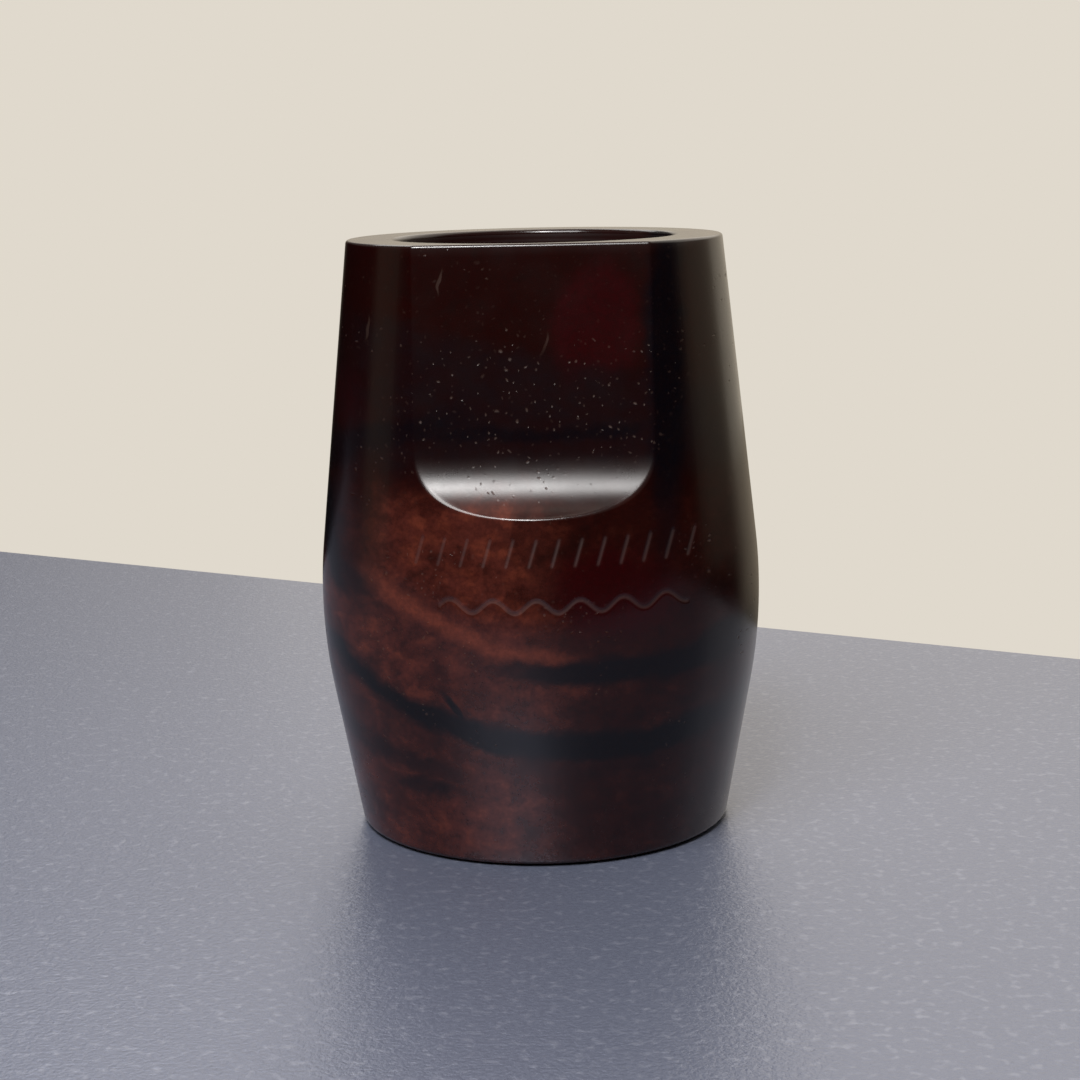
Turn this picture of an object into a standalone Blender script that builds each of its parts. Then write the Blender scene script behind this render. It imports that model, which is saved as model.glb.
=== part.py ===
"""Dip pen holder: a turned rosewood barrel with a wide bore and a milled flat that ends in a scoop.

Run it with blender --background --python part.py, or from Blender's text editor.
Metres, +Z up. The origin is the middle of the underside, where the holder stands on the desk.
The milled flat faces -Y.

The barrel is bored right through. A stepped plug closes the bore from below, a felt disc on
the plug takes the pens' ends, and a leather disc under the plug stands on the desk.
"""

import math

import bmesh
import bpy
from mathutils import Matrix, Vector

MM = 0.001

# Outside of the barrel: an upper and a lower taper, with a round belly where they meet
HEIGHT = 50.0 * MM  # desk to rim
BELLY_HEIGHT = 18.4 * MM  # where the two tapers would meet, above the desk
BELLY_RISE = 3.4 * MM  # how far that meeting point stands out past the rim
BELLY_ROUND = 44.0 * MM  # radius that rounds the meeting of the tapers
RIM_EDGE = 0.25 * MM  # round on the rim's outer edge
BASE_EDGE = 0.5 * MM  # round on the base's outer edge

# Bore and walls
BORE_RADIUS = 11.75 * MM
LIP_ROUND = 0.4 * MM  # round on the bore's mouth
RIM_WALL = 4.0 * MM  # bore to outside, at the rim
BASE_WALL = 3.2 * MM  # counterbore to outside, at the base

# The flat, milled down from the rim, and the scoop where the cutter ran out
FLAT_WALL = 0.5 * MM  # left between the flat and the mouth's round, at the rim
FLAT_LENGTH = 16.5 * MM  # rim to the start of the scoop
FLAT_TILT = math.radians(7.2)  # the flat leans back, a little more than the taper does
SCOOP_RADIUS = 5.8 * MM

# Pieces in the barrel's underside and bore
FIT = 0.3 * MM  # gap between pieces that touch or are glued
PLUG_SHOULDER = 0.85 * MM  # counterbore past the bore: the ledge that the plug seats on
PLUG_FLANGE = 3.0 * MM  # thickness of the plug's wide part
PLUG_SPIGOT = 2.0 * MM  # height of the part that stands up into the bore
PLUG_EDGE = 0.25 * MM
FELT_THICKNESS = 1.5 * MM
FELT_EDGE = 0.3 * MM
FOOT_THICKNESS = 1.2 * MM
FOOT_PROUD = 0.15 * MM  # the leather stands this far out of the wood
FOOT_EDGE = 0.1 * MM

# Fineness of the faceted solids
TURNING_STEPS = 96
BELLY_STEPS = 10
SCOOP_STEPS = 14
EDGE_STEPS = 3

# Sizes that follow from those above
RIM_RADIUS = BORE_RADIUS + RIM_WALL
COUNTERBORE_RADIUS = BORE_RADIUS + PLUG_SHOULDER
BASE_RADIUS = COUNTERBORE_RADIUS + BASE_WALL
BELLY_RADIUS = RIM_RADIUS + BELLY_RISE
BASE_Z = FOOT_PROUD
PLUG_Z = FOOT_THICKNESS + FIT
SHOULDER_Z = PLUG_Z + PLUG_FLANGE + FIT
FELT_Z = PLUG_Z + PLUG_FLANGE + PLUG_SPIGOT + FIT
FLAT_AT_RIM = BORE_RADIUS + LIP_ROUND + FLAT_WALL


def clear_scene():
    for obj in list(bpy.data.objects):
        bpy.data.objects.remove(obj)


def material(name, colour, roughness):
    made = bpy.data.materials.new(name)
    made.use_nodes = True
    surface = made.node_tree.nodes["Principled BSDF"]
    surface.inputs["Base Color"].default_value = (*colour, 1.0)
    surface.inputs["Roughness"].default_value = roughness
    surface.inputs["Metallic"].default_value = 0.0
    return made


def rounded_corner(before, corner, after, radius, steps):
    """Points of the arc of this radius that rounds a corner between two straight lines."""
    corner = Vector(corner)
    towards_start = (Vector(before) - corner).normalized()
    towards_end = (Vector(after) - corner).normalized()
    half_angle = towards_start.angle(towards_end) / 2
    bisector = (towards_start + towards_end).normalized()
    centre = corner + bisector * (radius / math.sin(half_angle))
    first = corner + towards_start * (radius / math.tan(half_angle)) - centre
    last = corner + towards_end * (radius / math.tan(half_angle)) - centre
    sweep = first.angle_signed(last)
    return [
        centre + Matrix.Rotation(-sweep * step / steps, 2) @ first
        for step in range(steps + 1)
    ]


def new_object(name, shape):
    """An object that takes over a finished bmesh."""
    mesh = bpy.data.meshes.new(name)
    shape.to_mesh(mesh)
    shape.free()
    obj = bpy.data.objects.new(name, mesh)
    bpy.context.scene.collection.objects.link(obj)
    return obj


def polish(obj, finish):
    """Give a solid its material, and shade it smooth between its true edges."""
    obj.data.materials.append(finish)
    obj.data.shade_smooth()
    obj.data.set_sharp_from_angle(angle=math.radians(30))


def turned(name, outline):
    """A solid turned about Z from an outline of (radius, height) points.

    An outline that starts and ends on the axis makes a disc. Any other is closed, and makes a ring.
    """
    shape = bmesh.new()
    corners = [shape.verts.new((point[0], 0, point[1])) for point in outline]
    edges = [shape.edges.new(pair) for pair in zip(corners, corners[1:])]
    if outline[0][0] > 0:
        edges.append(shape.edges.new((corners[-1], corners[0])))
    bmesh.ops.spin(
        shape,
        geom=corners + edges,
        cent=(0, 0, 0),
        axis=(0, 0, 1),
        angle=2 * math.pi,
        steps=TURNING_STEPS,
        use_merge=True,
    )
    bmesh.ops.remove_doubles(shape, verts=shape.verts, dist=0.001 * MM)
    bmesh.ops.recalc_face_normals(shape, faces=shape.faces)
    return new_object(name, shape)


def disc(name, radius, bottom, thickness, edge):
    """A flat disc about Z whose two rims are chamfered."""
    top = bottom + thickness
    outline = [
        (0, bottom),
        (radius - edge, bottom),
        (radius, bottom + edge),
        (radius, top - edge),
        (radius - edge, top),
        (0, top),
    ]
    return turned(name, outline)


def barrel_outline():
    foot = (COUNTERBORE_RADIUS, BASE_Z)
    base = (BASE_RADIUS, BASE_Z)
    belly = (BELLY_RADIUS, BELLY_HEIGHT)
    rim = (RIM_RADIUS, HEIGHT)
    mouth = (BORE_RADIUS, HEIGHT)
    shoulder = (BORE_RADIUS, SHOULDER_Z)
    return [
        foot,
        *rounded_corner(foot, base, belly, BASE_EDGE, EDGE_STEPS),
        *rounded_corner(base, belly, rim, BELLY_ROUND, BELLY_STEPS),
        *rounded_corner(belly, rim, mouth, RIM_EDGE, EDGE_STEPS),
        *rounded_corner(rim, mouth, shoulder, LIP_ROUND, EDGE_STEPS),
        shoulder,
        (COUNTERBORE_RADIUS, SHOULDER_Z),
    ]


def flat_cutter():
    """What the milling cutter clears: all that lies outside a tilted flat and its scoop.

    The outline is drawn from the scoop's start: u runs down along the flat, v out of it.
    """
    reach = 4 * BELLY_RADIUS
    past_rim = FLAT_LENGTH / math.cos(FLAT_TILT) + BELLY_RISE
    turns = [math.pi / 2 * step / SCOOP_STEPS for step in range(SCOOP_STEPS + 1)]
    scoop = [
        (SCOOP_RADIUS * math.sin(turn), SCOOP_RADIUS * (1 - math.cos(turn)))
        for turn in turns
    ]
    outline = [(-past_rim, 0), *scoop, (SCOOP_RADIUS, reach), (-past_rim, reach)]

    start_y = -(FLAT_AT_RIM + FLAT_LENGTH * math.tan(FLAT_TILT))
    start = Vector((-reach / 2, start_y, HEIGHT - FLAT_LENGTH))
    down = Vector((0, -math.sin(FLAT_TILT), -math.cos(FLAT_TILT)))
    out = Vector((0, -math.cos(FLAT_TILT), math.sin(FLAT_TILT)))

    shape = bmesh.new()
    side = shape.faces.new([shape.verts.new(start + down * u + out * v) for u, v in outline])
    swept = bmesh.ops.extrude_face_region(shape, geom=[side])
    far_side = [item for item in swept["geom"] if isinstance(item, bmesh.types.BMVert)]
    bmesh.ops.translate(shape, verts=far_side, vec=(reach, 0, 0))
    bmesh.ops.recalc_face_normals(shape, faces=shape.faces)
    return new_object("flat_cutter", shape)


def cut_away(obj, cutter):
    """Take the cutter's space out of a solid, then drop the cutter."""
    cut = obj.modifiers.new("cut", "BOOLEAN")
    cut.operation = "DIFFERENCE"
    cut.solver = "EXACT"
    cut.object = cutter
    graph = bpy.context.evaluated_depsgraph_get()
    obj.data = bpy.data.meshes.new_from_object(obj.evaluated_get(graph))
    obj.modifiers.clear()
    bpy.data.objects.remove(cutter)


def make_barrel():
    barrel = turned("barrel", barrel_outline())
    cut_away(barrel, flat_cutter())
    return barrel


def make_floor_plug():
    """A stepped disc: a flange in the counterbore, and a spigot up into the bore."""
    flange = COUNTERBORE_RADIUS - FIT
    spigot = BORE_RADIUS - FIT
    ledge_z = PLUG_Z + PLUG_FLANGE
    top_z = ledge_z + PLUG_SPIGOT
    outline = [
        (0, PLUG_Z),
        (flange - PLUG_EDGE, PLUG_Z),
        (flange, PLUG_Z + PLUG_EDGE),
        (flange, ledge_z),
        (spigot, ledge_z),
        (spigot, top_z - PLUG_EDGE),
        (spigot - PLUG_EDGE, top_z),
        (0, top_z),
    ]
    return turned("floor_plug", outline)


def make_nib_pad():
    return disc("nib_pad", BORE_RADIUS - FIT, FELT_Z, FELT_THICKNESS, FELT_EDGE)


def make_foot_pad():
    return disc("foot_pad", COUNTERBORE_RADIUS - FIT, 0, FOOT_THICKNESS, FOOT_EDGE)


def main():
    clear_scene()
    polish(make_barrel(), material("polished_rosewood", (0.042, 0.008, 0.006), 0.2))
    polish(make_floor_plug(), material("turned_rosewood", (0.06, 0.016, 0.01), 0.4))
    polish(make_nib_pad(), material("felt", (0.05, 0.045, 0.04), 0.95))
    polish(make_foot_pad(), material("leather", (0.06, 0.03, 0.018), 0.7))


main()
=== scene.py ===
"""The looks of the dip pen holder: a polished rosewood barrel on its felt and leather discs.

The barrel is made again from the CAD barrel's own outline, with fine rounds on its edges, a
scribed border and a rosewood finish. Shapes are in millimetres until they go into a mesh, and
the materials' places and sizes are in millimetres too.
"""

import math

import bmesh
import bpy
import numpy as np
from mathutils import Euler, Matrix, Vector, noise


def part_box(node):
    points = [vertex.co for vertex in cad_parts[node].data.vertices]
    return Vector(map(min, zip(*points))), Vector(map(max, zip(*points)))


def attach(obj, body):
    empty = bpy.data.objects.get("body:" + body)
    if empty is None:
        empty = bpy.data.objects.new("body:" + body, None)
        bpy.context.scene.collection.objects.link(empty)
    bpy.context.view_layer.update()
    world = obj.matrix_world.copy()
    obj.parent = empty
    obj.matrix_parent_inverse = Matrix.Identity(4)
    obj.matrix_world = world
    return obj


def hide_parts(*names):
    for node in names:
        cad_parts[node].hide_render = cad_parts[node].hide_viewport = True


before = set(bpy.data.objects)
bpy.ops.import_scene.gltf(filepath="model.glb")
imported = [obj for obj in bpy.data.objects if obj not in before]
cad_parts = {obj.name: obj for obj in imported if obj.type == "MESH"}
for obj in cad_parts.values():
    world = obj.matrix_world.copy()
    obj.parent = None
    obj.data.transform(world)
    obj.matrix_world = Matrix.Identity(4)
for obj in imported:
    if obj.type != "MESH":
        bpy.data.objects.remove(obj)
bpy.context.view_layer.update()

MM = 0.001

# The milled flat and its scoop, as on the CAD barrel
FLAT_AT_RIM = 12.65  # axis to flat, at the rim
FLAT_LENGTH = 16.5  # rim to the start of the scoop
FLAT_TILT = math.radians(7.2)
SCOOP_RADIUS = 5.8
MILLED_EDGE = 0.09  # blends the flat's sides into the barrel
SCOOP_EDGE = 0.3  # blends the scoop's lower lip into the belly

# Rounds of the turned edges
RIM_EDGE = 0.25
LIP_ROUND = 0.4
BASE_EDGE = 0.5

# The scribed border under the scoop: a row of slanting nicks over a wavy line
SCRIBE_DEPTH = 0.05
SCRIBE_WIDTH = 0.13
NICK_HEIGHT = 26.3  # middle of the row, above the desk
NICK_LENGTH = 1.9
NICK_LEAN = 0.3
NICK_PITCH = 1.8
NICK_START, NICK_END = -9.2, 12.4
WAVE_HEIGHT = 22.1
WAVE_RISE = 0.5
WAVE_PITCH = 3.4
WAVE_START, WAVE_END = -7.6, 12.0

# Columns of the barrel's mesh: close together between these azimuths, over the milled front
FINE_FROM, FINE_TO = -41, 47
FINE_COLUMNS, OTHER_COLUMNS = 400, 110

# The camera
EYE_DISTANCE = 190.15
EYE_HEIGHT = 58.95
EYE_AZIMUTH = math.radians(1.3)
EYE_PITCH = math.radians(10.4)
EYE_ROLL = math.radians(-1.16)
LENS = 75.0
SENSOR_WIDTH = 36.0

# The desk top's corners, seen from in front of the holder
DESK_LEFT, DESK_RIGHT, DESK_FRONT = -500, 300, -120
DESK_BACK_LEFT, DESK_BACK_RIGHT = 357, -79

HOLDER_MIDDLE = Vector((0, 0, 25))


# ---------------------------------------------------------------- the turned barrel


def half_outline(node):
    """The (radius, height) points of a turned CAD node, where it meets the plane behind the axis."""
    return sorted(
        {
            (round(v.co.y / MM, 4), round(v.co.z / MM, 4))
            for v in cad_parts[node].data.vertices
            if abs(v.co.x) < 0.01 * MM and v.co.y > 0.01 * MM
        }
    )


class Barrel:
    """The turned sizes of the CAD barrel, and its outside as radius over azimuth and height."""

    def __init__(self):
        points = half_outline("barrel")
        self.bore = min(radius for radius, _ in points)
        self.top = max(height for _, height in points)
        self.bottom = min(height for _, height in points)
        self.shoulder = min(height for radius, height in points if radius < self.bore + 0.01)
        self.counterbore = min(radius for radius, height in points if height < self.bottom + 0.01)
        wall = [
            (height, radius)
            for radius, height in points
            if radius > self.counterbore + LIP_ROUND
            and self.bottom + 0.8 * BASE_EDGE < height < self.top - 0.8 * RIM_EDGE
        ]
        self.heights, self.radii = np.array(sorted(wall)).T
        self.scoop = self.scoop_points()

    def scoop_points(self):
        """Height and distance from the axis along the scoop's arc, from its start downwards."""
        turns = np.radians(np.linspace(0, 80, 200))
        down = SCOOP_RADIUS * np.sin(turns)
        out = SCOOP_RADIUS * (1 - np.cos(turns))
        heights = self.top - FLAT_LENGTH - down * math.cos(FLAT_TILT) + out * math.sin(FLAT_TILT)
        start = FLAT_AT_RIM + FLAT_LENGTH * math.tan(FLAT_TILT)
        return heights, start + down * math.sin(FLAT_TILT) + out * math.cos(FLAT_TILT)

    def wall(self, height):
        """The turned radius at a height, as a smooth curve through the CAD outline's points."""
        h, r = self.heights, self.radii
        slope = np.empty(len(h))
        slope[1:-1] = (r[2:] - r[:-2]) / (h[2:] - h[:-2])
        slope[0] = (r[1] - r[0]) / (h[1] - h[0])
        slope[-1] = (r[-1] - r[-2]) / (h[-1] - h[-2])
        i = np.clip(np.searchsorted(h, height) - 1, 0, len(h) - 2)
        span = h[i + 1] - h[i]
        t = (height - h[i]) / span
        inside = np.clip(t, 0, 1)
        curve = (
            r[i] * (1 + 2 * inside) * (1 - inside) ** 2
            + r[i + 1] * inside**2 * (3 - 2 * inside)
            + span * slope[i] * inside * (1 - inside) ** 2
            - span * slope[i + 1] * inside**2 * (1 - inside)
        )
        return curve + (t - inside) * span * np.where(t < 0.5, slope[0], slope[-1])

    def milled(self, azimuth, height):
        """How far from the axis the milling cutter stopped."""
        flat = FLAT_AT_RIM + (self.top - height) * math.tan(FLAT_TILT)
        heights, distances = self.scoop
        scoop = np.interp(height, heights[::-1], distances[::-1])
        missed = 4 * self.bore
        distance = np.where(height > heights[0], flat, scoop)
        distance = np.where(height < heights[-1], missed, distance)
        facing = np.cos(azimuth)
        return np.where(facing > 0.5, distance / np.maximum(facing, 0.5), missed)

    def outside(self, azimuth, height):
        """(radius, how much of the milled surface shows there)."""
        wall = self.wall(height)
        milled = self.milled(azimuth, height)
        scoop_start = self.top - FLAT_LENGTH
        along = np.clip((scoop_start - height) / SCOOP_RADIUS, 0, 1)
        edge = MILLED_EDGE + (SCOOP_EDGE - MILLED_EDGE) * along
        near = np.maximum(edge - np.abs(wall - milled), 0) / edge
        radius = np.minimum(wall, milled) - near**2 * edge / 4
        shows = np.clip((wall - milled) / edge, 0, 1)
        return radius, shows


def scribed(across, height):
    """The depth of the scribed border at places on the front of the barrel."""
    nick = np.round((across - NICK_START) / NICK_PITCH)
    last = math.floor((NICK_END - NICK_START) / NICK_PITCH)
    middle = NICK_START + np.clip(nick, 0, last) * NICK_PITCH
    up = height - NICK_HEIGHT
    beyond = np.maximum(np.abs(up) - NICK_LENGTH / 2, 0)
    to_nick = np.hypot(across - middle - NICK_LEAN * up, beyond)

    turn = 2 * math.pi / WAVE_PITCH
    inside = np.clip(across, WAVE_START, WAVE_END)
    line = WAVE_HEIGHT + WAVE_RISE * np.sin(turn * (inside - WAVE_START))
    steep = WAVE_RISE * turn * np.cos(turn * (inside - WAVE_START))
    to_wave = np.hypot((height - line) / np.hypot(1, steep), across - inside)

    depth = np.exp(-((to_nick / SCRIBE_WIDTH) ** 2)) + np.exp(-((to_wave / SCRIBE_WIDTH) ** 2))
    return SCRIBE_DEPTH * np.minimum(depth, 1)


def spaced(*stops):
    """Heights between stops, where each stop is (height, spacing up to the next)."""
    heights = []
    for (low, step), (high, _) in zip(stops, stops[1:]):
        heights += list(np.linspace(low, high, max(2, round((high - low) / step) + 1))[:-1])
    return heights + [stops[-1][0]]


def make_object(name, mesh):
    obj = bpy.data.objects.new(name, mesh)
    bpy.context.scene.collection.objects.link(obj)
    return obj


def woven(name, rings, closed):
    """A mesh of quads over rings of points. A closed one joins its last ring to its first."""
    rows, columns = rings.shape[:2]
    index = np.arange(rows * columns).reshape(rows, columns)
    below = index if closed else index[:-1]
    above = np.roll(index, -1, axis=0) if closed else index[1:]
    quads = np.stack(
        [below, np.roll(below, -1, axis=1), np.roll(above, -1, axis=1), above], axis=-1
    )
    mesh = bpy.data.meshes.new(name)
    mesh.from_pydata((rings.reshape(-1, 3) * MM).tolist(), [], quads.reshape(-1, 4).tolist())
    mesh.update()
    mesh.shade_smooth()
    return mesh


def barrel_azimuths():
    """Columns round the barrel. Zero faces -Y."""
    front = np.linspace(FINE_FROM, FINE_TO, FINE_COLUMNS)
    rest = np.linspace(FINE_TO, FINE_FROM + 360, OTHER_COLUMNS)[1:-1]
    return np.radians(np.concatenate([front, rest]))


def barrel_heights(shape):
    """Rows up the turned wall, close together at the scribed border and the scoop."""
    return spaced(
        (shape.bottom + BASE_EDGE, 0.8),
        (17.0, 0.5),
        (WAVE_HEIGHT - 1.0, 0.1),
        (WAVE_HEIGHT + 1.0, 0.3),
        (NICK_HEIGHT - 1.2, 0.2),
        (NICK_HEIGHT + 1.2, 0.2),
        (28.0, 0.1),
        (34.0, 0.7),
        (shape.top - RIM_EDGE, 0.7),
    )


def quarter_turn(steps):
    return np.radians(np.linspace(0, 90, steps + 1))


class Rings:
    """The barrel's rings of points, with how milled and how scribed each point is."""

    def __init__(self, azimuth):
        self.azimuth = azimuth
        self.points = []
        self.milled = []
        self.scribed = []

    def add(self, radius, height, milled=0.0, cut=0.0):
        radius = np.broadcast_to(radius, self.azimuth.shape)
        height = np.broadcast_to(height, self.azimuth.shape)
        across = radius * np.sin(self.azimuth)
        back = -radius * np.cos(self.azimuth)
        self.points.append(np.stack([across, back, height], axis=-1))
        self.milled.append(np.broadcast_to(milled, self.azimuth.shape))
        self.scribed.append(np.broadcast_to(cut / SCRIBE_DEPTH, self.azimuth.shape))


def outside_rings(shape, rings):
    """Rings from the base's round up the wall, over the rim and into the bore's mouth."""
    for turn in quarter_turn(7)[::-1]:
        height = shape.bottom + BASE_EDGE * (1 - math.sin(turn))
        rings.add(shape.wall(height) - BASE_EDGE * (1 - math.cos(turn)), height)
    for height in barrel_heights(shape)[1:-1]:
        radius, milled = shape.outside(rings.azimuth, height)
        in_front = np.cos(rings.azimuth) > 0
        across = np.where(in_front, radius * np.sin(rings.azimuth), 1e3)
        cut = scribed(across, height)
        rings.add(radius - cut, height, milled, cut)
    for turn in quarter_turn(5):
        height = shape.top - RIM_EDGE * (1 - math.sin(turn))
        radius, milled = shape.outside(rings.azimuth, height)
        rings.add(radius - RIM_EDGE * (1 - math.cos(turn)), height, milled)
    for turn in quarter_turn(8):
        radius = shape.bore + LIP_ROUND * (1 - math.sin(turn))
        rings.add(radius, shape.top - LIP_ROUND * (1 - math.cos(turn)))


def inside_rings(shape, rings):
    """Rings down the bore and the counterbore."""
    for height in np.linspace(shape.top - LIP_ROUND, shape.shoulder, 16)[1:]:
        rings.add(shape.bore, height)
    rings.add(shape.counterbore, shape.shoulder)
    rings.add(shape.counterbore, (shape.shoulder + shape.bottom) / 2)
    rings.add(shape.counterbore, shape.bottom)


def make_barrel():
    shape = Barrel()
    rings = Rings(barrel_azimuths())
    outside_rings(shape, rings)
    polished = len(rings.points)
    inside_rings(shape, rings)

    mesh = woven("barrel_turned", np.array(rings.points), closed=True)
    for name, values in (("milled", rings.milled), ("scribed", rings.scribed)):
        layer = mesh.attributes.new(name, "FLOAT", "POINT")
        layer.data.foreach_set("value", np.array(values, np.float32).ravel())
    mesh.materials.append(polished_rosewood())
    mesh.materials.append(bored_rosewood())
    rows = np.repeat(np.arange(len(rings.points)), len(rings.azimuth))
    mesh.polygons.foreach_set("material_index", (rows >= polished - 1).astype(np.int32))
    mesh.set_sharp_from_angle(angle=math.radians(40))
    return make_object("barrel_turned", mesh)


# ---------------------------------------------------------------- the felt and leather discs


def soft_disc(name, node, crown, edge, lump, lump_size, seed):
    """A disc in a CAD disc's place, with round edges, a slightly crowned top and an uneven face."""
    low, high = (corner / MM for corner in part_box(node))
    radius = high.x
    thick = high.z - low.z
    azimuth = np.radians(np.linspace(0, 360, 181)[:-1])
    columns = len(azimuth)

    # Each ring is (radius, share of the thickness, whether it is on the top)
    face = np.linspace(0.3, radius - edge, 34)
    side = np.radians(np.linspace(-90, 90, 13)[1:-1])
    profile = [(r, 0.0, False) for r in face]
    profile += [(radius - edge + edge * math.cos(t), (1 + math.sin(t)) / 2, t > 0) for t in side]
    profile += [(r, 1.0, True) for r in face[::-1]]

    rings = np.empty((len(profile), columns, 3))
    for i, (r, up, on_top) in enumerate(profile):
        for j, a in enumerate(azimuth):
            x, y = r * math.sin(a), -r * math.cos(a)
            uneven = noise.noise(Vector((x, y, seed)) / lump_size) * lump
            fall = (crown * (r / radius) ** 2 + abs(uneven)) if on_top else 0.0
            rings[i, j] = (x, y, low.z + up * thick - fall)
    mesh = woven(name, rings, closed=False)
    close_ends(mesh, columns)
    return make_object(name, mesh)


def close_ends(mesh, columns):
    """Fill the small holes that are left in the middle of a disc's two faces."""
    edit = bmesh.new()
    edit.from_mesh(mesh)
    edit.verts.ensure_lookup_table()
    edit.faces.new(edit.verts[:columns][::-1])
    edit.faces.new(edit.verts[-columns:])
    edit.to_mesh(mesh)
    edit.free()
    mesh.shade_smooth()


# ---------------------------------------------------------------- node helpers


FLOAT, VECTOR, COLOUR = "NodeSocketFloat", "NodeSocketVector", "NodeSocketColor"


def feed(tree, node, inputs):
    """Fill a node's inputs: a socket is linked, and anything else is set."""
    for name, value in inputs.items():
        if isinstance(value, bpy.types.NodeSocket):
            tree.links.new(value, node.inputs[name])
        else:
            node.inputs[name].default_value = value


def add(tree, kind, inputs=None, **settings):
    """A node of a kind, with its settings and inputs."""
    made = tree.nodes.new(kind)
    for name, value in settings.items():
        setattr(made, name, value)
    feed(tree, made, inputs or {})
    return made


def calc(tree, operation, first, second=0.0):
    return add(tree, "ShaderNodeMath", {0: first, 1: second}, operation=operation).outputs[0]


def product(tree, first, *others):
    for other in others:
        first = calc(tree, "MULTIPLY", first, other)
    return first


def largest(tree, first, *others):
    for other in others:
        first = calc(tree, "MAXIMUM", first, other)
    return first


def hypotenuse(tree, first, second):
    squares = calc(tree, "ADD", product(tree, first, first), product(tree, second, second))
    return calc(tree, "SQRT", squares)


def vector(tree, operation, first, second):
    made = add(tree, "ShaderNodeVectorMath", {0: first, 1: second}, operation=operation)
    return made.outputs[0]


def scaled(tree, first, factor):
    made = add(tree, "ShaderNodeVectorMath", {0: first, "Scale": factor}, operation="SCALE")
    return made.outputs[0]


def split(tree, place):
    """The three parts of a place: across, back and height."""
    return add(tree, "ShaderNodeSeparateXYZ", {0: place}).outputs


def ramp(tree, value, low, high, to_low=0.0, to_high=1.0):
    """The value mapped smoothly from one range to another, and kept inside it."""
    made = add(
        tree,
        "ShaderNodeMapRange",
        {"Value": value, "From Min": low, "From Max": high, "To Min": to_low, "To Max": to_high},
        interpolation_type="SMOOTHSTEP",
    )
    return made.outputs[0]


def mix(tree, factor, first, second):
    """The first colour where the factor is 0, and the second where it is 1."""
    made = add(tree, "ShaderNodeMix", data_type="RGBA", blend_type="MIX")
    feed(tree, made, {0: factor, 6: first, 7: second})
    return made.outputs[2]


def grain_noise(tree, place, scale, detail=3.0, roughness=0.5, distortion=0.0, stretch=(1, 1, 1)):
    """Noise at a scale in features to the millimetre, stretched along the axes."""
    settings = {
        "Vector": vector(tree, "MULTIPLY", place, stretch),
        "Scale": scale,
        "Detail": detail,
        "Roughness": roughness,
        "Distortion": distortion,
    }
    return add(tree, "ShaderNodeTexNoise", settings)


def cells_over(tree, across, height, spacing):
    """Scattered cells over a flat, and three random values for each of them."""
    flat = add(tree, "ShaderNodeCombineXYZ", {0: across, 1: height}).outputs[0]
    settings = {"Vector": flat, "Scale": calc(tree, "DIVIDE", 1.0, spacing), "Randomness": 1.0}
    cells = add(tree, "ShaderNodeTexVoronoi", settings, voronoi_dimensions="2D")
    kinds = add(tree, "ShaderNodeSeparateColor", {0: cells.outputs["Color"]})
    return cells.outputs["Distance"], kinds.outputs


def cracks(tree, place, scale):
    """How far each place is from the nearest edge between scattered cells."""
    settings = {"Vector": place, "Scale": scale}
    cells = add(tree, "ShaderNodeTexVoronoi", settings, feature="DISTANCE_TO_EDGE")
    return cells.outputs["Distance"]


def bump(tree, height, strength, distance, normal=None):
    inputs = {"Height": height, "Strength": strength, "Distance": distance}
    if normal is not None:
        inputs["Normal"] = normal
    return add(tree, "ShaderNodeBump", inputs).outputs["Normal"]


def colour(red, green, blue):
    """A linear colour from the 0 to 255 values that a screen shows it with."""
    def linear(value):
        share = value / 255
        return share / 12.92 if share <= 0.04045 else ((share + 0.055) / 1.055) ** 2.4

    return (linear(red), linear(green), linear(blue), 1.0)


def new_group(name, inputs, output, kind):
    """A shader group with named sockets. Returns it with its inputs and its output's socket."""
    group = bpy.data.node_groups.new(name, "ShaderNodeTree")
    for label, input_kind, value in inputs:
        socket = group.interface.new_socket(label, in_out="INPUT", socket_type=input_kind)
        if value is not None:
            socket.default_value = value
    group.interface.new_socket(output, in_out="OUTPUT", socket_type=kind)
    given = group.nodes.new("NodeGroupInput").outputs
    result = group.nodes.new("NodeGroupOutput").inputs[output]
    return group, given, result


def use_group(tree, group, inputs):
    made = add(tree, "ShaderNodeGroup", node_tree=group)
    feed(tree, made, inputs)
    return made.outputs[0]


# ---------------------------------------------------------------- rosewood


DEEP_RED = colour(27, 3, 2)
CRIMSON = colour(41, 3, 5)
RUST = colour(74, 32, 25)
ORANGE = colour(100, 46, 32)
UMBER = colour(20, 6, 5)
PURPLE = colour(20, 9, 12)
NIGHT = colour(7, 5, 10)
# Painted light: the pale grey that stands for light caught in the scribed grooves
SCRIBE_CATCHLIGHT = colour(92, 70, 66)

# The growth rings are ovals round two piths, given as (across, height)
UPPER_PITH = (6.0, 27.6)
LOWER_PITH = (6.0, 22.0)
OVAL = 2.16  # how much wider than high a ring is


def build_dark_ring():
    """A growth ring: an oval round the pith, seen on the front, with soft edges."""
    group, given, result = new_group(
        "dark_ring",
        [
            ("Place", VECTOR, None),
            ("Pith Across", FLOAT, 0.0),
            ("Pith Height", FLOAT, 26.0),
            ("Widening", FLOAT, 1.4),
            ("Radius", FLOAT, 10.0),
            ("Half Width", FLOAT, 0.6),
            ("Softness", FLOAT, 0.8),
        ],
        "Mask",
        FLOAT,
    )
    across, _, height = split(group, given["Place"])
    across = calc(group, "SUBTRACT", across, given["Pith Across"])
    across = calc(group, "DIVIDE", across, given["Widening"])
    up = calc(group, "SUBTRACT", height, given["Pith Height"])
    away = calc(group, "SUBTRACT", hypotenuse(group, across, up), given["Radius"])
    away = calc(group, "SUBTRACT", calc(group, "ABSOLUTE", away), given["Half Width"])
    group.links.new(ramp(group, away, 0.0, given["Softness"], 1.0, 0.0), result)
    return group


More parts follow.
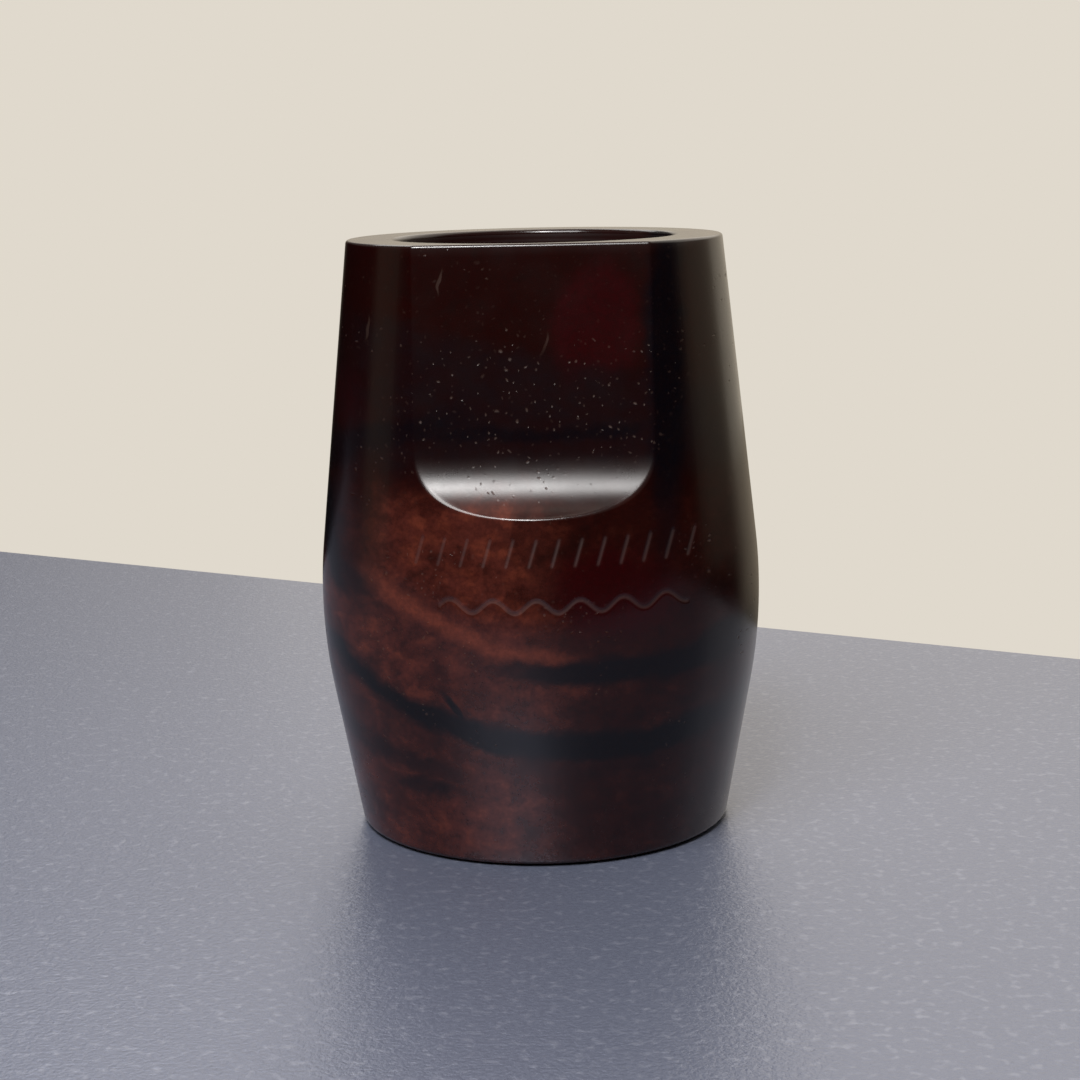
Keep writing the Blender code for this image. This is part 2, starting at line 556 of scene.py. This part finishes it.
def warped_place(group, place):
    """The place, pushed about so that rings wander and their edges turn ragged."""
    for scale, detail, reach, stretch in (
        (0.13, 2.0, 2.4, (1, 0.4, 1)),
        (0.7, 4.0, 1.2, (1, 0.2, 1)),
    ):
        wander = grain_noise(group, place, scale, detail=detail, roughness=0.6, stretch=stretch)
        push = vector(group, "SUBTRACT", wander.outputs["Color"], (0.5, 0.5, 0.5))
        push = vector(group, "MULTIPLY", push, (reach, 0, reach))
        place = vector(group, "ADD", place, push)
    return place


class Figure:
    """The parts of the rosewood's figure, as masks over one warped place."""

    def __init__(self, group, dark_ring, place):
        self.group = group
        self.dark_ring = dark_ring
        self.warped = warped_place(group, place)
        self.across, _, self.height = split(group, self.warped)
        mottle = grain_noise(
            group, place, 0.3, detail=5.0, roughness=0.62, distortion=0.5, stretch=(1, 0.3, 1)
        )
        speckle = grain_noise(
            group, place, 0.55, detail=4.0, roughness=0.55, stretch=(1, 0.25, 1.3)
        )
        fine = grain_noise(group, place, 2.4, detail=3.0, roughness=0.7, stretch=(1, 0.05, 1))
        self.mottle = mottle.outputs["Fac"]
        self.speckle = speckle.outputs["Fac"]
        self.fine = fine.outputs["Fac"]

    def over(self, value, low, high, to_low=0.0, to_high=1.0):
        return ramp(self.group, value, low, high, to_low, to_high)

    def times(self, *masks):
        return product(self.group, *masks)

    def most(self, *masks):
        return largest(self.group, *masks)

    def patch(self, middle, reach, lean, softness):
        """A soft oval, leaning over as it rises."""
        up = calc(self.group, "SUBTRACT", self.height, middle[1])
        side = calc(self.group, "SUBTRACT", self.across, middle[0])
        side = calc(self.group, "SUBTRACT", side, self.times(up, lean))
        side = calc(self.group, "DIVIDE", side, reach[0])
        up = calc(self.group, "DIVIDE", up, reach[1])
        away = hypotenuse(self.group, side, up)
        return self.over(away, 1 - softness, 1 + softness, 1.0, 0.0)

    def ring(self, pith, radius, half_width, softness, oval=OVAL):
        settings = {
            "Place": self.warped,
            "Pith Across": pith[0],
            "Pith Height": pith[1],
            "Widening": oval,
            "Radius": radius,
            "Half Width": half_width,
            "Softness": softness,
        }
        return use_group(self.group, self.dark_ring, settings)

    def rust(self):
        """Rust heartwood: below and to the left, and again at the foot."""
        body = self.times(
            self.over(self.across, -3.5, 4.0, 1.0, 0.12),
            self.over(self.height, 28.5, 32.5, 1.0, 0.0),
        )
        flank = self.times(
            self.over(self.across, -14.0, -10.5, 1.0, 0.0),
            self.over(self.height, 22.5, 26.0),
        )
        body = self.times(
            body,
            self.over(flank, 0.0, 1.0, 1.0, 0.15),
            self.over(self.mottle, 0.35, 0.58, 0.45, 1.0),
        )
        hollow = self.patch((0.5, 5.0), (6.5, 4.5), 0.0, 0.5)
        foot = self.times(
            self.over(self.height, 15.0, 17.5, 1.0, 0.0),
            self.over(self.mottle, 0.38, 0.6, 0.35, 0.9),
            self.over(self.across, -1.0, 7.0, 1.0, 0.25),
            self.over(hollow, 0.0, 1.0, 1.0, 0.3),
        )
        return self.most(body, foot)

    def crimson(self):
        return self.most(
            self.patch((5.2, 43.8), (3.6, 4.6), 0.1, 0.22),
            self.patch((6.0, 23.0), (4.6, 3.2), 0.0, 0.4),
        )

    def pale_ring(self):
        """The pale ring inside the first dark one."""
        return self.times(
            self.ring(UPPER_PITH, 9.6, 0.1, 0.8),
            self.over(self.height, 22.0, 25.5, 0.7, 0.0),
            self.over(self.across, 0.0, 5.0, 1.0, 0.0),
        )

    def dark_rings(self):
        below_scoop = self.over(self.height, 28.5, 32.5, 1.0, 0.0)
        above_foot = self.over(self.height, 17.0, 19.0, 1.0, 0.0)
        ends = self.most(
            self.over(self.across, -17.0, -12.0, 0.95, 0.25),
            self.over(self.across, -8.0, 2.0, 0.25, 0.95),
        )
        first_width = self.over(self.across, -4.0, 6.0, 0.15, 0.6)
        second_width = self.over(self.across, -14.0, -5.0, 0.1, 0.6)
        fading = self.over(self.across, -7.0, -3.0, 0.7, 0.0)
        return self.most(
            self.times(self.ring(UPPER_PITH, 10.9, first_width, 1.1, oval=2.18), below_scoop, ends),
            self.times(self.ring(LOWER_PITH, 11.6, second_width, 1.2), above_foot),
            self.times(self.ring(LOWER_PITH, 13.2, 0.2, 1.4), above_foot, 0.35),
            self.times(self.ring(LOWER_PITH, 15.4, 0.3, 1.2), fading),
        )

    def dark_marks(self):
        """Black marks beside the rings."""
        spur = self.patch((-6.4, 13.4), (0.4, 1.3), -0.6, 0.5)
        blot = self.patch((-8.8, 6.4), (3.2, 0.9), 0.0, 0.6)
        streak_by_flat = self.patch((10.6, 41.0), (1.5, 13.5), 0.03, 0.4)
        ring_end = self.patch((16.0, 18.4), (4.0, 1.0), 2.0, 0.4)
        knot = self.patch((-15.2, 23.4), (2.0, 1.7), -0.6, 0.5)
        return self.most(
            spur,
            self.times(blot, 0.8),
            self.times(streak_by_flat, 0.95),
            self.times(ring_end, 0.9),
            self.times(knot, 0.8),
        )

    def band(self):
        """The broad purple band over the scoop."""
        slope = calc(self.group, "ADD", self.height, self.times(self.across, 0.2))
        return self.times(
            self.over(slope, 40.2, 42.6, 1.0, 0.0),
            self.over(self.height, 30.5, 33.5),
            self.over(self.across, -17.0, -9.0, 0.45, 1.0),
        )

    def band_streak(self):
        """A black line along the middle of the band."""
        off_line = calc(self.group, "ABSOLUTE", calc(self.group, "SUBTRACT", self.height, 35.2))
        off_centre = calc(self.group, "ABSOLUTE", self.across)
        return self.times(
            self.over(off_line, 0.1, 0.9, 0.8, 0.0),
            self.over(off_centre, 7.0, 9.5, 1.0, 0.0),
        )


def build_figure(dark_ring):
    """The rosewood's figure: rust and deep red heartwood, with dark rings round a pith that runs
    from front to back, so that the front and the back show end grain and the sides long grain."""
    group, given, result = new_group(
        "rosewood_figure",
        [("Place", VECTOR, None), ("Brightness", FLOAT, 1.0)],
        "Colour",
        COLOUR,
    )
    figure = Figure(group, dark_ring, given["Place"])
    rust = figure.rust()
    wood = mix(group, rust, DEEP_RED, RUST)
    glow = figure.times(figure.over(figure.speckle, 0.5, 0.7, 0.0, 0.7), rust)
    wood = mix(group, glow, wood, ORANGE)
    wood = mix(group, figure.over(figure.speckle, 0.3, 0.5, 0.5, 0.0), wood, UMBER)
    wood = mix(group, figure.times(figure.crimson(), 0.85), wood, CRIMSON)
    cheek = figure.patch((-15.5, 37.5), (2.0, 2.2), 0.0, 0.5)
    wood = mix(group, figure.times(cheek, 0.7), wood, CRIMSON)
    wood = mix(group, figure.pale_ring(), wood, ORANGE)
    band = figure.band()
    broken = figure.over(figure.speckle, 0.35, 0.65, 0.95, 0.6)
    wood = mix(group, figure.times(band, broken), wood, PURPLE)
    streak = figure.times(figure.band_streak(), band)
    dark = figure.most(figure.dark_rings(), figure.dark_marks(), streak)
    wood = mix(group, dark, wood, NIGHT)
    wood = mix(group, figure.over(figure.fine, 0.3, 0.7, 0.35, 0.0), wood, UMBER)
    group.links.new(scaled(group, wood, given["Brightness"]), result)
    return group


def build_pores():
    """Open pores, where vessels that run along Y end at the surface or lie in it."""
    group, given, result = new_group(
        "pores",
        [
            ("Place", VECTOR, None),
            ("Spacing", FLOAT, 1.0),
            ("Size", FLOAT, 0.1),
            ("Share", FLOAT, 0.5),
        ],
        "Mask",
        FLOAT,
    )
    place = given["Place"]
    wobble = grain_noise(group, place, 0.6, detail=2.0, stretch=(1, 0.3, 1))
    shift = vector(group, "MULTIPLY", wobble.outputs["Color"], (1.2, 0, 1.2))
    across, _, height = split(group, vector(group, "ADD", place, shift))
    distance, kinds = cells_over(group, across, height, given["Spacing"])

    crowding = grain_noise(group, place, 1.0, detail=1.0, stretch=(1, 0.3, 1))
    share = product(group, given["Share"], ramp(group, crowding.outputs["Fac"], 0.35, 0.6, 0.3, 1.4))
    chosen = calc(group, "LESS_THAN", kinds[0], share)
    size = calc(group, "ADD", 0.65, product(group, kinds[1], 0.7))
    size = calc(group, "DIVIDE", product(group, given["Size"], size), given["Spacing"])
    away = calc(group, "DIVIDE", distance, size)
    faint = ramp(group, kinds[2], 0.2, 1.0, 0.2, 1.0)
    pore = product(group, ramp(group, away, 0.25, 1.5, 1.0, 0.0), chosen, faint)
    group.links.new(pore, result)
    return group


def build_dashes():
    """Short slanting dashes: a few vessels that lie in the face that they show on."""
    group, given, result = new_group(
        "dashes",
        [
            ("Place", VECTOR, None),
            ("Spacing", FLOAT, 3.0),
            ("Size", FLOAT, 0.16),
            ("Share", FLOAT, 0.3),
        ],
        "Mask",
        FLOAT,
    )
    across, _, height = split(group, given["Place"])
    slant = calc(group, "SUBTRACT", across, product(group, height, 0.15))
    wave = grain_noise(group, given["Place"], 0.5, detail=1.0)
    slant = calc(group, "ADD", slant, product(group, wave.outputs["Fac"], 1.4))
    squeezed = product(group, height, 0.14)
    distance, kinds = cells_over(group, slant, squeezed, given["Spacing"])
    chosen = calc(group, "LESS_THAN", kinds[0], given["Share"])
    size = calc(group, "DIVIDE", given["Size"], given["Spacing"])
    away = calc(group, "DIVIDE", distance, size)
    group.links.new(product(group, ramp(group, away, 0.5, 1.3, 1.0, 0.0), chosen), result)
    return group


def build_fine_lines():
    """Fine lines that a tool or a polishing cloth left, as a height between 0 and 1."""
    group, given, result = new_group(
        "fine_lines",
        [("Place", VECTOR, None), ("Run", VECTOR, (1.0, 1.0, 1.0)), ("Spacing", FLOAT, 0.1)],
        "Height",
        FLOAT,
    )
    settings = {
        "Vector": vector(group, "MULTIPLY", given["Place"], given["Run"]),
        "Scale": calc(group, "DIVIDE", 1.0, given["Spacing"]),
        "Detail": 3.0,
        "Roughness": 0.6,
    }
    lines = add(group, "ShaderNodeTexNoise", settings)
    group.links.new(lines.outputs["Fac"], result)
    return group


def build_lathe_lines(fine_lines):
    """Fine lines that run round the axis. Run is (outwards, unused, upwards)."""
    group, given, result = new_group(
        "lathe_lines",
        [("Place", VECTOR, None), ("Run", VECTOR, (1.0, 1.0, 1.0)), ("Spacing", FLOAT, 0.1)],
        "Height",
        FLOAT,
    )
    across, back, height = split(group, given["Place"])
    outwards = hypotenuse(group, across, back)
    turned = add(group, "ShaderNodeCombineXYZ", {0: outwards, 2: height}).outputs[0]
    settings = {"Place": turned, "Run": given["Run"], "Spacing": given["Spacing"]}
    group.links.new(use_group(group, fine_lines, settings), result)
    return group


FIGURE = build_figure(build_dark_ring())
PORES = build_pores()
DASHES = build_dashes()
FINE_LINES = build_fine_lines()
LATHE_LINES = build_lathe_lines(FINE_LINES)


# ---------------------------------------------------------------- materials


class Finish:
    """A new material, with its surface and each place on it in millimetres."""

    def __init__(self, name):
        self.material = bpy.data.materials.new(name)
        self.material.use_nodes = True
        self.tree = self.material.node_tree
        self.surface = self.tree.nodes["Principled BSDF"]
        coords = add(self.tree, "ShaderNodeTexCoord")
        self.place = vector(self.tree, "MULTIPLY", coords.outputs["Object"], (1000, 1000, 1000))

    def give(self, name, value):
        """Link or set an input of the surface."""
        feed(self.tree, self.surface, {name: value})

    def attribute(self, name):
        return add(self.tree, "ShaderNodeAttribute", attribute_name=name).outputs["Fac"]

    def place_group(self, group, **settings):
        return use_group(self.tree, group, {"Place": self.place, **settings})


def open_pores(wood, height, milled):
    """Pores that crowd in clouds and in a band on the flat, with a few dashes near the rim."""
    tree = wood.tree
    dots = wood.place_group(PORES, Spacing=0.65, Size=0.088, Share=0.5)
    crowd = grain_noise(tree, wood.place, 0.16, detail=2.0, stretch=(1, 0.3, 1))
    above = ramp(tree, height, 33.0, 36.0)
    below = ramp(tree, height, 41.0, 44.0, 1.0, 0.0)
    clouds = ramp(tree, crowd.outputs["Fac"], 0.48, 0.62, 0.12, 0.8)
    amount = largest(tree, product(tree, above, below, milled), clouds)
    dashes = wood.place_group(DASHES, Spacing=2.4, Size=0.14, Share=0.35)
    near_rim = ramp(tree, height, 40.5, 43.0, 0.0, 0.45)
    return largest(tree, product(tree, dots, amount), product(tree, dashes, near_rim))


def polished_rosewood():
    """Sanded and polished wood, a little rougher in its pores, its border and its scoop."""
    wood = Finish("polished_rosewood")
    tree, place = wood.tree, wood.place
    across, _, height = split(tree, place)
    milled = wood.attribute("milled")
    scribe = wood.attribute("scribed")
    pores = open_pores(wood, height, milled)

    figure = wood.place_group(FIGURE, Brightness=1.0)
    # Painted light: the pores are painted pale for the light that their rough, waxed pits catch.
    # This pale turns dark towards the bottom, below 5.5 to 8 mm.
    pore_catchlight = mix(tree, ramp(tree, height, 5.5, 8.0), colour(10, 5, 5), colour(112, 82, 66))
    shade = mix(tree, product(tree, pores, 0.22), figure, pore_catchlight)
    # Painted light: the scribed grooves are real, and they are painted pale grey for the light that
    # their rough bottoms catch, paler towards the right.
    scribe_catchlight_amount = ramp(tree, across, -9.0, 5.0, 0.06, 0.2)
    shade = mix(tree, product(tree, scribe, scribe_catchlight_amount), shade, SCRIBE_CATCHLIGHT)
    wood.give("Base Color", shade)

    haze = grain_noise(tree, place, 0.22, detail=4.0, roughness=0.6)
    rough = ramp(tree, haze.outputs["Fac"], 0.3, 0.7, 0.16, 0.21)
    scoop = product(tree, milled, ramp(tree, height, 34.5, 32.5))
    for mask, rougher in ((pores, 0.3), (scribe, 0.3), (scoop, 0.11)):
        rough = calc(tree, "ADD", rough, product(tree, mask, rougher))
    wood.give("Roughness", rough)
    wood.give("IOR", 1.5)

    turned = wood.place_group(LATHE_LINES, Run=(0.2, 0.2, 1.0), Spacing=0.25)
    sanded = wood.place_group(FINE_LINES, Run=(1.0, 0.05, 0.05), Spacing=0.3)
    either = {0: milled, 2: turned, 3: sanded}
    lines = add(tree, "ShaderNodeMix", either, data_type="FLOAT").outputs[0]
    swell = grain_noise(tree, place, 0.35, detail=2.0)
    marks = bump(tree, lines, 0.2, 0.004 * MM)
    marks = bump(tree, swell.outputs["Fac"], 0.3, 0.03 * MM, marks)
    filled = calc(tree, "SUBTRACT", 1.0, pores)
    wood.give("Normal", bump(tree, filled, 0.6, 0.03 * MM, marks))
    return wood.material


def bored_rosewood():
    """The same wood inside the bore and underneath, as the tool left it under one coat of wax."""
    wood = Finish("bored_rosewood")
    figure = wood.place_group(FIGURE, Brightness=1.1)
    turned = wood.place_group(LATHE_LINES, Run=(0.2, 0.2, 1.0), Spacing=0.35)
    pores = wood.place_group(PORES, Spacing=0.9, Size=0.1, Share=0.4)
    shade = mix(wood.tree, product(wood.tree, pores, 0.5), figure, colour(26, 12, 10))
    wood.give("Base Color", shade)
    wood.give("Roughness", ramp(wood.tree, turned, 0.3, 0.7, 0.3, 0.5))
    wood.give("Normal", bump(wood.tree, turned, 0.4, 0.012 * MM))
    return wood.material


def turned_rosewood():
    """The floor plug: rings from the parting tool, dry wax and open pores."""
    wood = Finish("turned_rosewood")
    figure = wood.place_group(FIGURE, Brightness=1.3)
    turned = wood.place_group(LATHE_LINES, Run=(1.0, 1.0, 0.6), Spacing=0.3)
    pores = wood.place_group(PORES, Spacing=0.9, Size=0.1, Share=0.5)
    shade = mix(wood.tree, product(wood.tree, pores, 0.6), figure, colour(20, 10, 8))
    wood.give("Base Color", shade)
    wood.give("Roughness", ramp(wood.tree, turned, 0.3, 0.7, 0.42, 0.65))
    wood.give("Normal", bump(wood.tree, turned, 0.8, 0.03 * MM))
    return wood.material


def felt():
    """Grey wool felt: matted, with paler fibres lying over it."""
    cloth = Finish("felt")
    tree, place = cloth.tree, cloth.place
    matted = grain_noise(tree, place, 1.6, detail=6.0, roughness=0.7).outputs["Fac"]
    fibres = cracks(tree, place, 3.2)
    shade = mix(tree, ramp(tree, matted, 0.3, 0.7), colour(46, 42, 40), colour(84, 78, 72))
    shade = mix(tree, ramp(tree, fibres, 0.0, 0.08, 0.5, 0.0), shade, colour(112, 104, 96))
    cloth.give("Base Color", shade)
    cloth.give("Roughness", ramp(tree, matted, 0.2, 0.8, 0.85, 1.0))
    cloth.give("Sheen Weight", 0.4)
    cloth.give("Sheen Roughness", 0.5)
    cloth.give("Specular IOR Level", 0.2)
    marks = bump(tree, matted, 0.9, 0.12 * MM)
    cloth.give("Normal", bump(tree, fibres, 0.5, 0.05 * MM, marks))
    return cloth.material


def leather():
    """Brown leather with dark creases between its grains."""
    hide = Finish("leather")
    tree, place = hide.tree, hide.place
    creases = cracks(tree, place, 1.8)
    tone = grain_noise(tree, place, 0.25, detail=4.0, roughness=0.6).outputs["Fac"]
    shade = mix(tree, ramp(tree, tone, 0.3, 0.7), colour(58, 36, 24), colour(96, 62, 42))
    shade = mix(tree, ramp(tree, creases, 0.0, 0.06, 0.6, 0.0), shade, colour(34, 20, 14))
    hide.give("Base Color", shade)
    hide.give("Roughness", ramp(tree, tone, 0.2, 0.8, 0.55, 0.8))
    hide.give("Normal", bump(tree, creases, 0.6, 0.06 * MM))
    return hide.material


def desk_paint():
    """Satin desk paint with a fine pebble, and a few pale flecks painted in for glints on the
    pebble.
    """
    paint = Finish("desk_paint")
    tree, place = paint.tree, paint.place
    fine = grain_noise(tree, place, 2.6, detail=2.0, roughness=0.6).outputs["Fac"]
    glint_flecks = grain_noise(tree, place, 1.1, detail=1.0).outputs["Fac"]
    shade = mix(tree, fine, colour(99, 104, 123), colour(109, 115, 134))
    # Painted light: pale flecks that stand for glints on the pebbled paint
    shade = mix(tree, ramp(tree, glint_flecks, 0.52, 0.8, 0.0, 0.3), shade, colour(158, 162, 178))
    paint.give("Base Color", shade)
    paint.give("Roughness", ramp(tree, fine, 0.3, 0.7, 0.32, 0.4))
    paint.give("IOR", 1.6)
    paint.give("Metallic", 0.4)
    paint.give("Normal", bump(tree, fine, 0.8, 0.07 * MM))
    return paint.material


# ---------------------------------------------------------------- stage


def make_floor():
    """A desk top whose back edge lies a little way behind the holder."""
    corners = [
        (DESK_LEFT, DESK_FRONT, 0),
        (DESK_RIGHT, DESK_FRONT, 0),
        (DESK_RIGHT, DESK_BACK_RIGHT, 0),
        (DESK_LEFT, DESK_BACK_LEFT, 0),
    ]
    mesh = bpy.data.meshes.new("floor")
    mesh.from_pydata([Vector(corner) * MM for corner in corners], [], [(0, 1, 2, 3)])
    mesh.materials.append(desk_paint())
    make_object("floor", mesh)


def area_light(name, place, towards, size, radiance, tint):
    """A soft lamp at a place, turned towards another. Its brightness is that of its face."""
    lamp = bpy.data.lights.new(name, "AREA")
    lamp.shape = "RECTANGLE"
    lamp.size, lamp.size_y = size[0] * MM, size[1] * MM
    lamp.energy = radiance * math.pi * lamp.size * lamp.size_y
    lamp.color = tint
    obj = make_object(name, lamp)
    away = Vector(place) - Vector(towards)
    obj.location = Vector(place) * MM
    obj.rotation_euler = away.to_track_quat("Z", "Y").to_euler()
    obj.visible_camera = False


def around(azimuth, elevation, distance):
    """A place seen from the holder's middle. Azimuth 0 is in front, and 90 on the right."""
    a, e = math.radians(azimuth), math.radians(elevation)
    away = Vector((math.sin(a) * math.cos(e), -math.cos(a) * math.cos(e), math.sin(e)))
    return HOLDER_MIDDLE + away * distance


def make_lights():
    middle = HOLDER_MIDDLE
    white, warm_white = (1.0, 0.99, 0.98), (1.0, 0.98, 0.95)
    cream, amber = (1.0, 0.93, 0.8), (1.0, 0.85, 0.62)
    area_light("lamp_front", around(-22, 52, 700), middle, (430, 380), 10.5, white)
    area_light("lamp_bulb", around(-10, 53, 690), middle, (70, 150), 50.0, white)
    area_light("lamp_wall", (110, 235, 158), (110, 0, 158), (340, 300), 0.25, cream)
    area_light("lamp_back", around(-150, 44, 650), middle, (300, 240), 3.0, warm_white)
    area_light("lamp_left", around(-95, 8, 500), middle, (180, 300), 0.12, amber)


def make_world():
    """A pale wall to the eye. Its light comes from behind and the right, and the front is dim."""
    world = bpy.data.worlds.new("pale_room")
    world.use_nodes = True
    tree = world.node_tree
    way = add(tree, "ShaderNodeTexCoord").outputs["Generated"]
    up = split(tree, way)[2]
    level = vector(tree, "MULTIPLY", way, (1, 1, 0))
    level = add(tree, "ShaderNodeVectorMath", {0: level}, operation="NORMALIZE").outputs[0]

    def towards(x, y, low, high):
        """How far a direction lies towards a compass point, between two cosines."""
        inputs = {0: level, 1: (x, y, 0)}
        facing = add(tree, "ShaderNodeVectorMath", inputs, operation="DOT_PRODUCT")
        return ramp(tree, facing.outputs["Value"], low, high)

    right_wall = towards(0.55, 0.83, 0.54, 0.76)
    back_wall = towards(0.35, 0.94, 0.78, 0.96)
    below_eye = ramp(tree, up, -0.32, -0.14, 0.0, 0.32)
    falling_off = ramp(tree, up, -0.12, -0.03, 1.0, 0.5)
    foot = product(tree, below_eye, falling_off, back_wall)
    papered = product(tree, right_wall, ramp(tree, up, -0.13, 0.0, 0.0, 0.22))
    high = product(tree, right_wall, ramp(tree, up, 0.1, 0.4, 0.0, 0.9))
    above = calc(tree, "ADD", ramp(tree, up, 0.12, 0.4, 0.0, 0.14), 0.003)
    warm = scaled(tree, (1.0, 0.84, 0.62), calc(tree, "ADD", foot, papered))
    pale = scaled(tree, (1.0, 0.95, 0.87), calc(tree, "ADD", high, above))
    room = vector(tree, "ADD", warm, pale)
    to_the_eye = add(tree, "ShaderNodeLightPath").outputs["Is Camera Ray"]
    seen = mix(tree, to_the_eye, room, colour(224, 217, 205))
    feed(tree, tree.nodes["Background"], {"Color": seen})
    bpy.context.scene.world = world


def make_camera():
    data = bpy.data.cameras.new("camera")
    data.lens = LENS
    data.sensor_width = SENSOR_WIDTH
    data.clip_start = 0.01
    camera = make_object("camera", data)
    away = Vector((math.sin(EYE_AZIMUTH), -math.cos(EYE_AZIMUTH), 0)) * EYE_DISTANCE
    aim = Euler((math.pi / 2 - EYE_PITCH, 0, EYE_AZIMUTH)).to_matrix().to_4x4()
    place = Matrix.Translation((away + Vector((0, 0, EYE_HEIGHT))) * MM)
    camera.matrix_world = place @ aim @ Matrix.Rotation(EYE_ROLL, 4, "Z")
    bpy.context.scene.camera = camera
    bpy.context.scene.view_settings.view_transform = "Standard"


# ---------------------------------------------------------------- assembly


def main():
    barrel = make_barrel()
    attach(barrel, "root")
    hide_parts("barrel")

    nib_felt = soft_disc(
        "nib_felt", "nib_pad", crown=0.12, edge=0.5, lump=0.12, lump_size=1.4, seed=3.0
    )
    nib_felt.data.materials.append(felt())
    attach(nib_felt, "root")
    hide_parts("nib_pad")

    foot_leather = soft_disc(
        "foot_leather", "foot_pad", crown=0.0, edge=0.3, lump=0.03, lump_size=1.0, seed=9.0
    )
    foot_leather.data.materials.append(leather())
    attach(foot_leather, "root")
    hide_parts("foot_pad")

    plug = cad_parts["floor_plug"]
    plug.data.materials.clear()
    plug.data.materials.append(turned_rosewood())

    make_floor()
    make_lights()
    make_world()
    make_camera()


main()
